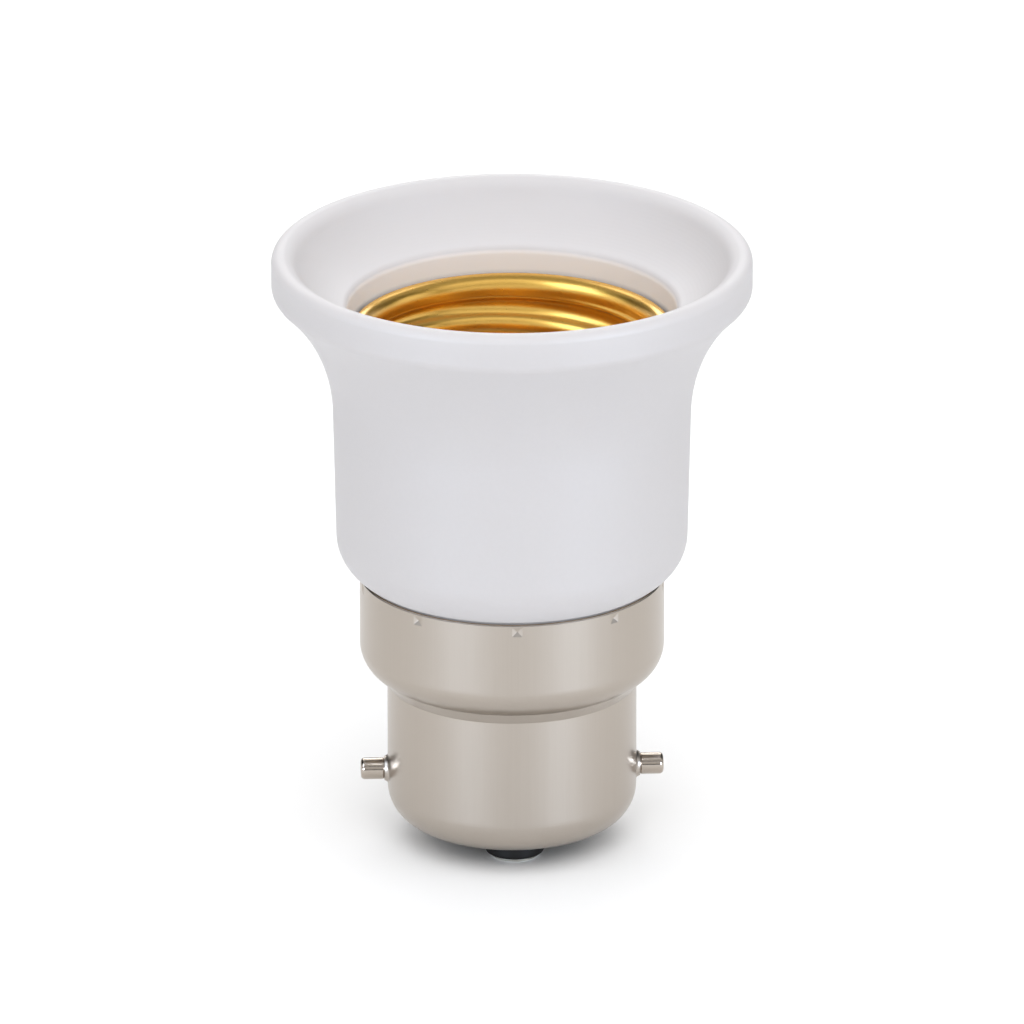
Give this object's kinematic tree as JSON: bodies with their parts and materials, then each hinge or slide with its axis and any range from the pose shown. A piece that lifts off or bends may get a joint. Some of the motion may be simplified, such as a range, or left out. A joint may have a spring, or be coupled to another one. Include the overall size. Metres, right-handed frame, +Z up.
{
  "type": "lamp socket adapter",
  "caption": "Bell-mouthed white lamp socket adapter with a gold screw-thread shell inside and a stepped metal bayonet cap with side pins below.",
  "frame": {"origin": "on the adapter's own axis, in the plane of the two base contacts that it stands on", "axes": "+Z up the axis out of the lamp socket's mouth, X along the bayonet pins, Y along the base contacts"},
  "size_m": [0.0422, 0.0422, 0.0548],
  "materials": {
    "white_moulding": "smooth moulded thermoplastic polyester",
    "nickel_plate": "satin nickel plate on drawn brass",
    "gilt_brass": "bright rolled brass",
    "black_phenolic": "moulded phenolic",
    "contact_strip": "sprung phosphor bronze strip",
    "tinned_brass": "tinned brass",
    "soft_solder": "dull soft solder",
    "copper_wire": "bare drawn copper",
    "wire_sleeve": "heat-proof insulating sleeve"
  },
  "bodies": {
    "adapter": {"housing": "white_moulding", "cap_shell": "nickel_plate", "bayonet_pin_left": "nickel_plate", "bayonet_pin_right": "nickel_plate", "base_insulator": "black_phenolic", "contact_eyelet_front": "tinned_brass", "contact_eyelet_back": "tinned_brass", "contact_solder_front": "soft_solder", "contact_solder_back": "soft_solder", "threaded_shell": "gilt_brass", "shell_rivet_left": "gilt_brass", "shell_rivet_right": "gilt_brass", "contact_rivet": "gilt_brass", "centre_tag": "tinned_brass", "shell_tag": "tinned_brass", "centre_tag_solder": "soft_solder", "shell_tag_solder": "soft_solder", "centre_lead_wire": "copper_wire", "centre_lead_sleeve": "wire_sleeve", "shell_lead_wire": "copper_wire", "shell_lead_sleeve": "wire_sleeve"},
    "contact_leaf": {"centre_contact": "contact_strip"}
  },
  "joints": [
    {"name": "contact_press", "type": "hinge", "parent": "adapter", "child": "contact_leaf", "pos_m": [-0.00339, 0, 0.02888], "axis": [0, 1, 0], "range_deg": [0, 12], "stiffness_Nm_per_rad": 0.08, "deforming": ["centre_contact"]}
  ]
}
